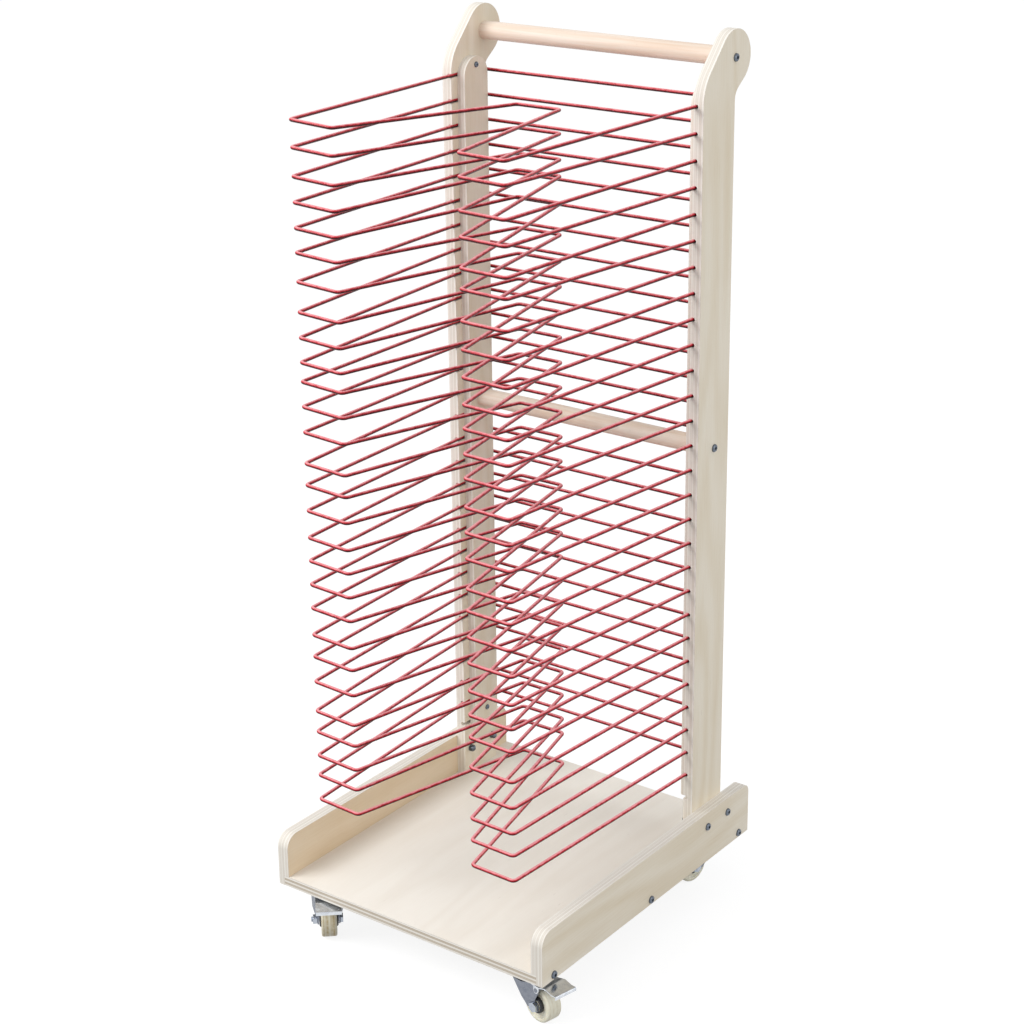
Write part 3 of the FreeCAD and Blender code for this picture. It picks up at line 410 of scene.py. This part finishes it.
def outline_edges(shape, across, thickness):
    """Edges where a board's face meets its edge band, apart from grooves that don't reach through."""
    found = []
    for edge in shape.edges:
        if len(edge.link_faces) != 2:
            continue
        flats = [face for face in edge.link_faces if abs(face.normal[across]) > 0.99]
        bands = [face for face in edge.link_faces if abs(face.normal[across]) < 0.05]
        if len(flats) == 1 and len(bands) == 1:
            span = [vertex.co[across] for vertex in bands[0].verts]
            if max(span) - min(span) > 0.9 * thickness:
                found.append(edge)
    return found


def soften(shape, edges, radius, segments=3):
    bmesh.ops.bevel(shape, geom=edges, offset=radius, offset_type="OFFSET", segments=segments, profile=0.5,
                    affect="EDGES", clamp_overlap=True, material=-1)


def shade(shape, sharpest):
    """Smooth faces with a crease along every edge that turns by more than the given angle."""
    for face in shape.faces:
        face.smooth = True
    for edge in shape.edges:
        edge.smooth = len(edge.link_faces) == 2 and edge.calc_face_angle(0.0) < math.radians(sharpest)


def add_piece(name, shape, materials, body, nodes=(), sharpest=38.0):
    """Turn a finished bmesh into a piece that rides on a body and may stand for CAD nodes."""
    shade(shape, sharpest)
    mesh = bpy.data.meshes.new(name)
    shape.to_mesh(mesh)
    shape.free()
    for material in materials:
        mesh.materials.append(material)
    piece = bpy.data.objects.new(name, mesh)
    bpy.context.scene.collection.objects.link(piece)
    flatten = piece.modifiers.new("flat_faces", "WEIGHTED_NORMAL")
    flatten.keep_sharp = True
    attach(piece, body)
    if nodes:
        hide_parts(*nodes)
    return piece


def sharp_edges(shape, degrees):
    """Edges whose two faces turn by more than an angle."""
    shape.normal_update()
    return [edge for edge in shape.edges
            if len(edge.link_faces) == 2 and edge.calc_face_angle(0.0) > math.radians(degrees)]


def turned(profile, closed=False, steps=72):
    """A solid turned about Y from corners given by their distance from the axis and place along it."""
    shape = bmesh.new()
    corners = [shape.verts.new((radius, along, 0.0)) for radius, along in profile]
    for first, second in zip(corners, corners[1:] + corners[:1] if closed else corners[1:]):
        shape.edges.new((first, second))
    bmesh.ops.spin(shape, geom=shape.verts[:] + shape.edges[:], cent=(0.0, 0.0, 0.0), axis=(0.0, 1.0, 0.0),
                   angle=2 * math.pi, steps=steps, use_merge=True)
    bmesh.ops.remove_doubles(shape, verts=shape.verts, dist=MERGE)
    bmesh.ops.recalc_face_normals(shape, faces=shape.faces)
    return shape


def join(shape, other):
    """Moves another shape's faces into this one."""
    mesh = bpy.data.meshes.new("joined")
    other.to_mesh(mesh)
    other.free()
    shape.from_mesh(mesh)
    bpy.data.meshes.remove(mesh)


def add_mirrored(shape):
    """Adds the shape's mirror image across its own XZ plane, with its faces turned to point outwards."""
    made = bmesh.ops.duplicate(shape, geom=shape.verts[:] + shape.edges[:] + shape.faces[:])["geom"]
    copies = [item for item in made if isinstance(item, bmesh.types.BMVert)]
    faces = [item for item in made if isinstance(item, bmesh.types.BMFace)]
    bmesh.ops.scale(shape, vec=(1.0, -1.0, 1.0), verts=copies)
    bmesh.ops.reverse_faces(shape, faces=faces)


def caster_place(corner):
    """A caster's own frame, on the floor under its swivel with X along its trail, and its hub's frame."""
    swivel = Vector(JOINTS[corner + "_swivel"]["pos_m"])
    hub = Vector(JOINTS[corner + "_roll"]["pos_m"])
    turn = Matrix.Rotation(math.atan2(hub.y - swivel.y, hub.x - swivel.x), 4, "Z")
    return Matrix.Translation((swivel.x, swivel.y, 0.0)) @ turn, Matrix.Translation(hub) @ turn


def pin_place(corner, place):
    """The frame of a brake pedal's pin, turned as its caster is."""
    pin = Vector(JOINTS[corner + "_brake_press"]["pos_m"])
    return Matrix.Translation(pin) @ place.to_3x3().to_4x4()


def finish_node(node, material):
    """Give a CAD node that is shown as it is one material."""
    mesh = NODES[node].data
    mesh.materials.clear()
    mesh.materials.append(material)


# ---------------------------------------------------------------- operators
class RACK_OT_plywood(bpy.types.Operator):
    """Base board, side rails, posts and wire strips with sanded edges"""

    bl_idname = "rack.plywood"
    bl_label = "Plywood boards"

    def execute(self, context):
        boards = [("base_board", "Z", "Y")]
        boards += [(side + "_side_rail", "X", "Y") for side in SIDES]
        boards += [(side + "_post", "X", "Z") for side in SIDES]
        boards += [(side + "_wire_strip", "X", "Z") for side in SIDES]
        for number, (node, across, grain) in enumerate(boards):
            self.make_board(context, node, across, grain, (0.31 * number, 0.17 * number, 0.23 * number))
        return {"FINISHED"}

    def make_board(self, context, node, across, grain, place):
        axis = AXES[across]
        low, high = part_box(node)
        thickness = high[axis] - low[axis]
        shape = merged_copy(node)
        soften(shape, outline_edges(shape, axis, thickness), context.scene.rack_sizes.wood_round)
        shape.normal_update()
        for face in shape.faces:
            face.material_index = 0 if abs(face.normal[axis]) > 0.97 else 1
        colours = context.scene.rack_colours
        faces, contrast = (colours.veneer, colours.veneer_grain), 0.3
        if node == "base_board":
            faces, contrast = (colours.board_veneer, colours.board_grain), 1.0
        elif node == "left_side_rail":
            faces = (colours.warm_veneer, colours.warm_grain)
        materials = [birch_veneer(node + "_veneer", grain, place, *faces),
                     plywood_edge(node + "_edge", across, low[axis], thickness, place, contrast)]
        add_piece(node + "_plywood", shape, materials, "stand", [node])


class RACK_OT_dowels(bpy.types.Operator):
    """Handle and cross dowel"""

    bl_idname = "rack.dowels"
    bl_label = "Dowels"

    def execute(self, context):
        for number, node in enumerate(("handle_dowel", "cross_dowel")):
            low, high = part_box(node)
            shape = bmesh.new()
            turn = Matrix.Translation((low + high) / 2) @ Matrix.Rotation(math.pi / 2, 4, "Y")
            radius = (high.z - low.z) / 2
            bmesh.ops.create_cone(shape, cap_ends=True, segments=64, radius1=radius, radius2=radius,
                                  depth=high.x - low.x, matrix=turn)
            ends = [edge for edge in shape.edges if abs(edge.verts[0].co.x - edge.verts[1].co.x) < NEAR]
            soften(shape, ends, context.scene.rack_sizes.dowel_round)
            add_piece(node + "_turned", shape, [beech_dowel(node + "_beech", (0.4 * number, 0.0, 0.0))],
                      "stand", [node])
        return {"FINISHED"}


class RACK_OT_wire_shelves(bpy.types.Operator):
    """Red coating of the wire shelves"""

    bl_idname = "rack.wire_shelves"
    bl_label = "Wire shelves"

    def execute(self, context):
        coating = coated_wire("red_coated_wire")
        for node in SHELVES:
            finish_node(node, coating)
        return {"FINISHED"}


class RACK_OT_fasteners(bpy.types.Operator):
    """Zinc plated bolts, cap nuts and screws"""

    bl_idname = "rack.fasteners"
    bl_label = "Bolts and screws"

    def execute(self, context):
        zinc = plated_steel("zinc_fasteners", context.scene.rack_colours.bolt, 0.2)
        for node in ("dowel_bolts", "rail_bolts", "rail_cap_nuts", "board_screws", "strip_screws"):
            finish_node(node, zinc)
        return {"FINISHED"}


class RACK_OT_casters(bpy.types.Operator):
    """Forks, wheels, seals and axles of the four casters"""

    bl_idname = "rack.casters"
    bl_label = "Casters"

    def execute(self, context):
        colours = context.scene.rack_colours
        self.rounding = context.scene.rack_sizes.metal_round
        self.zinc = plated_steel("zinc_plated_steel", colours.zinc, 0.26)
        self.bright = plated_steel("bright_plated_steel", colours.axle, 0.16)
        self.nylon = cream_nylon("cream_nylon")
        self.seal = hub_seal("black_hub_seal")
        for corner in CASTERS:
            hub = caster_place(corner)[1]
            self.make_fork(corner)
            self.make_wheel(context, corner, hub)
            self.make_seals(corner, hub)
            self.make_axle(corner, hub)
        for node in ("caster_top_plates", "caster_kingpins", "caster_screws"):
            finish_node(node, self.zinc)
        return {"FINISHED"}

    def make_fork(self, corner):
        shape = merged_copy(corner + "_fork")
        soften(shape, sharp_edges(shape, 35.0), self.rounding, 2)
        add_piece(corner + "_fork_pressed", shape, [self.zinc], corner + "_caster",
                  [corner + "_fork"])

    def make_wheel(self, context, corner, hub):
        """Rounded tread, a shallow dish on each side with a moulded ring, and the hub."""
        half, radius = WHEEL_WIDTH / 2, WHEEL_RADIUS
        dish, ring = half - DISH, half - RING_DROP
        side = [(HUB_BORE, HUB_REACH), (HUB_RADIUS, HUB_REACH), (HUB_RADIUS, dish), (RIM - 1.4 * MM, dish),
                (RIM, ring), (RIM + 1.2 * MM, ring), (RIM + 1.5 * MM, half), (radius, half)]
        shape = turned(side + [(r, -y) for r, y in reversed(side)], closed=True)
        tread = [edge for edge in sharp_edges(shape, 60.0)
                 if all(abs(abs(v.co.y) - half) < NEAR and v.co.xz.length > radius - NEAR
                        for v in edge.verts)]
        soften(shape, tread, context.scene.rack_sizes.tread_round, 5)
        soften(shape, sharp_edges(shape, 35.0), 0.35 * MM, 2)
        shape.normal_update()
        for face in shape.faces:
            face.material_index = 1 if min(v.co.xz.length for v in face.verts) > radius - TREAD_BAND else 0
        axle = hub.to_3x3() @ Vector((0.0, 1.0, 0.0))
        shape.transform(hub)
        tread = worn_tread(corner + "_worn_tread", axle, WEAR[corner])
        add_piece(corner + "_wheel_moulded", shape, [self.nylon, tread],
                  corner + "_roller", [corner + "_wheel"])

    def make_seals(self, corner, hub):
        """A black seal round the hub on each side, between the wheel and the cheek."""
        low, high = WHEEL_WIDTH / 2 - DISH - 0.1 * MM, HUB_REACH - 0.1 * MM
        ring = [(HUB_RADIUS, low), (SEAL_RADIUS, low), (SEAL_RADIUS, high - 1.0 * MM),
                (SEAL_RADIUS - 1.2 * MM, high), (HUB_RADIUS, high)]
        shape = turned(ring, closed=True)
        soften(shape, sharp_edges(shape, 35.0), 0.25 * MM, 2)
        add_mirrored(shape)
        shape.transform(hub)
        add_piece(corner + "_hub_seals", shape, [self.seal], corner + "_roller")

    def make_axle(self, corner, hub):
        """Hexagon head and nut with chamfered corners, and the threaded end beyond the nut."""
        nut_side = -1 if corner == "front_left" else 1
        seat = CHEEK_FACE + CHEEK_GAP
        nut_end = seat + (LONG_NUT if corner == "front_left" else HEAD_HEIGHT)
        shape = bmesh.new()
        for side, end in ((nut_side, nut_end), (-nut_side, seat + HEAD_HEIGHT)):
            turn = (Matrix.Translation((0.0, side * (seat + end) / 2, 0.0))
                    @ Matrix.Rotation(math.pi / 2, 4, "X"))
            bmesh.ops.create_cone(shape, cap_ends=True, segments=6, radius1=AXLE_HEAD / math.sqrt(3),
                                  radius2=AXLE_HEAD / math.sqrt(3), depth=end - seat, matrix=turn)
        soften(shape, sharp_edges(shape, 35.0), 0.7 * MM, 3)
        bolt = [(0.0, -seat), (AXLE_RADIUS, -seat)]
        y = nut_end - 0.5 * MM
        while y < nut_end + 1.6 * MM:
            bolt += [(AXLE_RADIUS - 0.05 * MM, y), (AXLE_RADIUS - 0.4 * MM, y + THREAD / 2)]
            y += THREAD
        bolt += [(AXLE_RADIUS - 1.0 * MM, y + 0.2 * MM), (0.0, y + 0.2 * MM)]
        end = turned([(r, nut_side * along) for r, along in bolt])
        join(shape, end)
        shape.transform(hub)
        add_piece(corner + "_axle_bolt", shape, [self.bright], corner + "_caster",
                  [corner + "_axle"])


class RACK_OT_brakes(bpy.types.Operator):
    """Brake pedals with their rivets and springs"""

    bl_idname = "rack.brakes"
    bl_label = "Brake pedals"

    def execute(self, context):
        sizes = context.scene.rack_sizes
        chrome = plated_steel("chromed_pedal", context.scene.rack_colours.chrome, 0.2)
        steel = plated_steel("spring_steel", context.scene.rack_colours.zinc, 0.3)
        for corner in BRAKED:
            place = caster_place(corner)[0]
            self.make_pedal(corner, place, sizes, chrome)
            pin = pin_place(corner, place)
            self.make_rivets(corner, pin, steel)
            self.make_spring(corner, pin, steel)
        return {"FINISHED"}

    def make_pedal(self, corner, place, sizes, chrome):
        """The pressed plate with a rolled lip."""
        shape = merged_copy(corner + "_brake_pedal")
        shape.transform(place.inverted())
        tip = max(vertex.co.x for vertex in shape.verts)
        top = max(vertex.co.z for vertex in shape.verts if vertex.co.x > tip - ROUGHLY)
        crease = [edge for edge in sharp_edges(shape, 60.0)
                  if all(v.co.x > tip - ROUGHLY and v.co.z > top - ROUGHLY for v in edge.verts)]
        soften(shape, crease, sizes.lip_round, 5)
        soften(shape, sharp_edges(shape, 35.0), sizes.metal_round, 2)
        shape.transform(place)
        add_piece(corner + "_pedal_pressed", shape, [chrome], corner + "_brake",
                  [corner + "_brake_pedal"])

    def make_rivets(self, corner, pin, steel):
        """A domed head at each end of the pedal's pin."""
        dome = [(0.0, PEDAL_HALF), (3.1 * MM, PEDAL_HALF), (3.0 * MM, PEDAL_HALF + 0.5 * MM),
                (2.2 * MM, PEDAL_HALF + 1.1 * MM), (1.1 * MM, PEDAL_HALF + 1.4 * MM),
                (0.0, PEDAL_HALF + 1.5 * MM)]
        shape = turned(dome, steps=32)
        add_mirrored(shape)
        shape.transform(pin)
        add_piece(corner + "_pin_heads", shape, [steel], corner + "_brake")

    def make_spring(self, corner, pin, steel):
        """The coiled return spring round the pin, one coil on each side of the shoe."""
        turns, steps = 5, 20
        low, high = SHOE_HALF + 0.6 * MM, CHEEK_FACE - 3.2 * MM
        shape = bmesh.new()
        bmesh.ops.create_circle(shape, cap_ends=False, radius=SPRING_WIRE / 2, segments=8,
                                matrix=Matrix.Translation((SPRING_RADIUS, low, 0.0)))
        bmesh.ops.spin(shape, geom=shape.edges[:], cent=(0.0, 0.0, 0.0), axis=(0.0, 1.0, 0.0),
                       dvec=(0.0, (high - low) / (turns * steps), 0.0), angle=2 * math.pi * turns,
                       steps=turns * steps, use_duplicate=False)
        bmesh.ops.holes_fill(shape, edges=[edge for edge in shape.edges if edge.is_boundary], sides=0)
        bmesh.ops.recalc_face_normals(shape, faces=shape.faces)
        add_mirrored(shape)
        shape.transform(pin)
        add_piece(corner + "_brake_spring", shape, [steel], corner + "_brake")


class RACK_OT_studio(bpy.types.Operator):
    """Floor, light and camera"""

    bl_idname = "rack.studio"
    bl_label = "Studio"

    def execute(self, context):
        studio = context.scene.rack_studio
        context.scene.view_settings.view_transform = "Standard"
        self.make_floor(context)
        self.make_world(context, studio)
        self.make_lamp(context, "key", (2.2, 1.7), studio.key, (-1.7, -2.3, 2.7), (0.0, 0.0, 0.55))
        self.make_lamp(context, "fill", (1.8, 1.8), studio.fill, (3.0, 0.2, 1.6), (0.2, 0.1, 0.6))
        self.make_camera(context, studio)
        return {"FINISHED"}

    def make_floor(self, context):
        """A wide pale floor that turns white in the picture and keeps a faint shadow."""
        shape = bmesh.new()
        bmesh.ops.create_grid(shape, x_segments=4, y_segments=4, size=30.0)
        mesh = bpy.data.meshes.new("floor")
        shape.to_mesh(mesh)
        shape.free()
        floor = bpy.data.objects.new("floor", mesh)
        context.scene.collection.objects.link(floor)
        material = bpy.data.materials.new("pale_floor")
        material.use_nodes = True
        tree = material.node_tree
        tree.nodes.clear()
        mesh.materials.append(material)
        matt = add_node(tree, "ShaderNodeBsdfDiffuse", values={"Color": (FLOOR_BOUNCE,) * 3 + (1.0,)})
        thin = add_node(tree, "ShaderNodeBsdfDiffuse", values={"Color": (FLOOR_SEEN,) * 3 + (1.0,)})
        glow = add_node(tree, "ShaderNodeEmission", values={"Strength": FLOOR_GLOW})
        seen = add_node(tree, "ShaderNodeAddShader", links={0: thin.outputs["BSDF"],
                                                            1: glow.outputs["Emission"]})
        pick = add_node(tree, "ShaderNodeMixShader", links={"Fac": self.seen_directly(tree),
                                                            1: matt.outputs["BSDF"],
                                                            2: seen.outputs["Shader"]})
        add_node(tree, "ShaderNodeOutputMaterial", links={"Surface": pick.outputs["Shader"]})

    def seen_directly(self, tree):
        """1 for rays from the camera, and for those reflected or passed on by gloss and glass."""
        path = add_node(tree, "ShaderNodeLightPath")
        direct = calculate(tree, "MAXIMUM", path.outputs["Is Camera Ray"], path.outputs["Is Glossy Ray"])
        return calculate(tree, "MAXIMUM", direct, path.outputs["Is Transmission Ray"])

    def make_world(self, context, studio):
        world = bpy.data.worlds.new("studio")
        context.scene.world = world
        world.use_nodes = True
        tree = world.node_tree
        tree.nodes.clear()
        white = add_node(tree, "ShaderNodeBackground", values={"Strength": 1.0})
        even = add_node(tree, "ShaderNodeBackground", values={"Color": (0.97, 0.985, 1.0, 1.0),
                                                              "Strength": studio.ambient})
        white.inputs["Color"].default_value = (1.0, 1.0, 1.0, 1.0)
        pick = add_node(tree, "ShaderNodeMixShader", links={"Fac": self.seen_directly(tree),
                                                            1: even.outputs["Background"],
                                                            2: white.outputs["Background"]})
        add_node(tree, "ShaderNodeOutputWorld", links={"Surface": pick.outputs["Shader"]})

    def make_lamp(self, context, name, size, power, place, target):
        """A soft rectangular lamp that faces a point."""
        light = bpy.data.lights.new(name, "AREA")
        light.shape = "RECTANGLE"
        light.size, light.size_y = size
        light.energy = power
        lamp = bpy.data.objects.new(name, light)
        context.scene.collection.objects.link(lamp)
        lamp.location = place
        lamp.rotation_mode = "QUATERNION"
        lamp.rotation_quaternion = (Vector(target) - lamp.location).to_track_quat("-Z", "Y")

    def make_camera(self, context, studio):
        """The camera, from its direction, roll and distance to the aim."""
        data = bpy.data.cameras.new("camera")
        data.sensor_width = 36.0
        data.lens = studio.focal
        data.shift_x = studio.shift_x
        data.shift_y = studio.shift_y
        data.clip_start = 0.05
        camera = bpy.data.objects.new("camera", data)
        context.scene.collection.objects.link(camera)
        flat = math.cos(studio.elevation)
        back = Vector((math.sin(studio.azimuth) * flat, -math.cos(studio.azimuth) * flat,
                       math.sin(studio.elevation)))
        aim = Vector((studio.aim_x, studio.aim_y, studio.aim_z))
        right = (-back).cross(Vector((0.0, 0.0, 1.0))).normalized()
        up = right.cross(-back)
        turned_right = right * math.cos(studio.roll) + up * math.sin(studio.roll)
        turned_up = up * math.cos(studio.roll) - right * math.sin(studio.roll)
        camera.matrix_world = (Matrix.Translation(aim + back * studio.distance)
                               @ Matrix((turned_right, turned_up, back)).transposed().to_4x4())
        context.scene.camera = camera


OPERATORS = (RACK_OT_plywood, RACK_OT_dowels, RACK_OT_wire_shelves, RACK_OT_fasteners, RACK_OT_casters,
             RACK_OT_brakes, RACK_OT_studio)


class RACK_PT_panel(bpy.types.Panel):
    """Lists the rack's pieces and settings"""

    bl_idname = "RACK_PT_panel"
    bl_label = "Drying Rack"
    bl_space_type = "VIEW_3D"
    bl_region_type = "UI"
    bl_category = "Drying Rack"

    def draw(self, context):
        for operator in OPERATORS:
            self.layout.operator(operator.bl_idname)
        for group in (context.scene.rack_colours, context.scene.rack_sizes, context.scene.rack_studio):
            for name in group.__annotations__:
                self.layout.prop(group, name)


CLASSES = (RackColours, RackSizes, RackStudio) + OPERATORS + (RACK_PT_panel,)


def register():
    for item in CLASSES:
        bpy.utils.register_class(item)
    bpy.types.Scene.rack_colours = bpy.props.PointerProperty(type=RackColours)
    bpy.types.Scene.rack_sizes = bpy.props.PointerProperty(type=RackSizes)
    bpy.types.Scene.rack_studio = bpy.props.PointerProperty(type=RackStudio)


def unregister():
    del bpy.types.Scene.rack_colours
    del bpy.types.Scene.rack_sizes
    del bpy.types.Scene.rack_studio
    for item in reversed(CLASSES):
        bpy.utils.unregister_class(item)


def main():
    register()
    for operator in OPERATORS:
        group, name = operator.bl_idname.split(".")
        getattr(getattr(bpy.ops, group), name)()
    bpy.context.view_layer.update()


if __name__ == "__main__":
    main()
